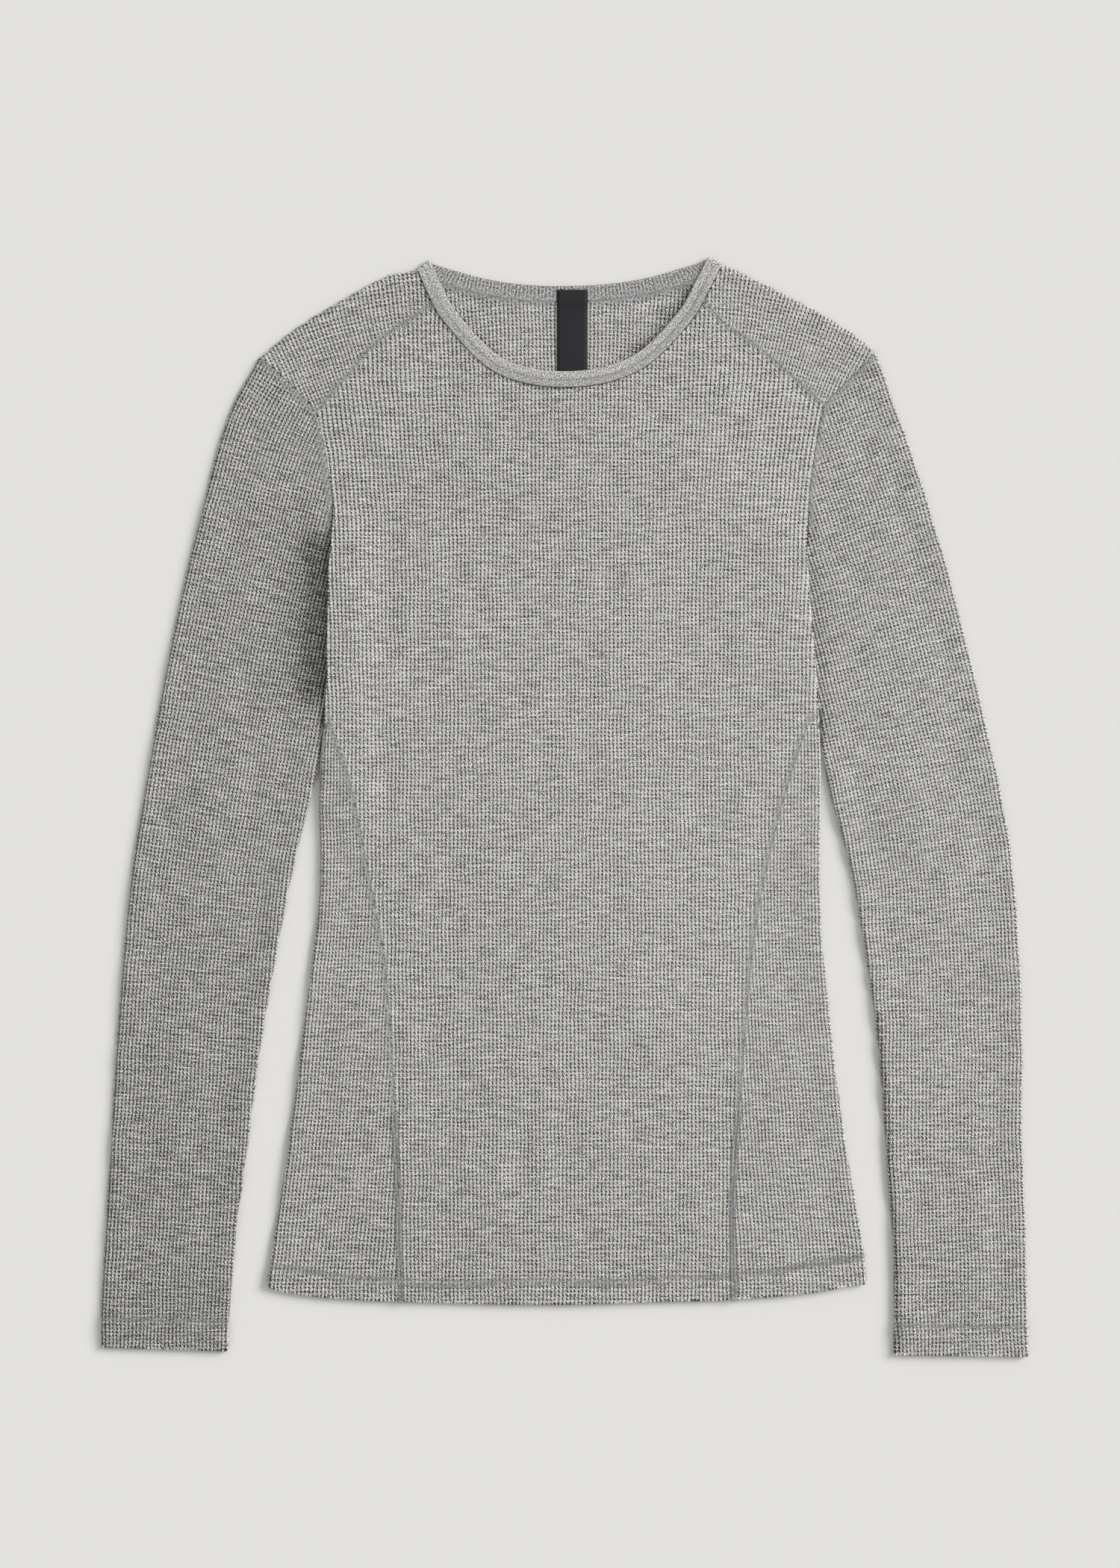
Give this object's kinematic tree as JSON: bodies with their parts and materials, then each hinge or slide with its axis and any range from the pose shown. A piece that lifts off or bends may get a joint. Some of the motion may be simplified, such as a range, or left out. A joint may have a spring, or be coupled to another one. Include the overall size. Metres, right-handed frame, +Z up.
{
  "type": "thermal top",
  "caption": "Long-sleeved crew-neck thermal top in waffle knit, with shoulder yokes and side panels, laid flat with its front upwards.",
  "frame": {"origin": "centre of the box's underside: on the surface that the top lies on", "axes": "+Y from the hem towards the neck, +X towards the sleeve on the right as seen from above, +Z up out of the front"},
  "size_m": [0.6205, 0.7359, 0.0051],
  "materials": {
    "knit": "matte heather-grey waffle knit",
    "binding": "matte heather-grey fine knit",
    "label": "satin-matte black tape"
  },
  "bodies": {
    "root": {"front_panel": "knit", "back_panel": "knit", "side_panel_left": "knit", "side_panel_right": "knit", "shoulder_yoke_left": "knit", "shoulder_yoke_right": "knit", "sleeve_left": "knit", "sleeve_right": "knit", "neckband": "binding", "neck_label": "label"}
  },
  "joints": []
}
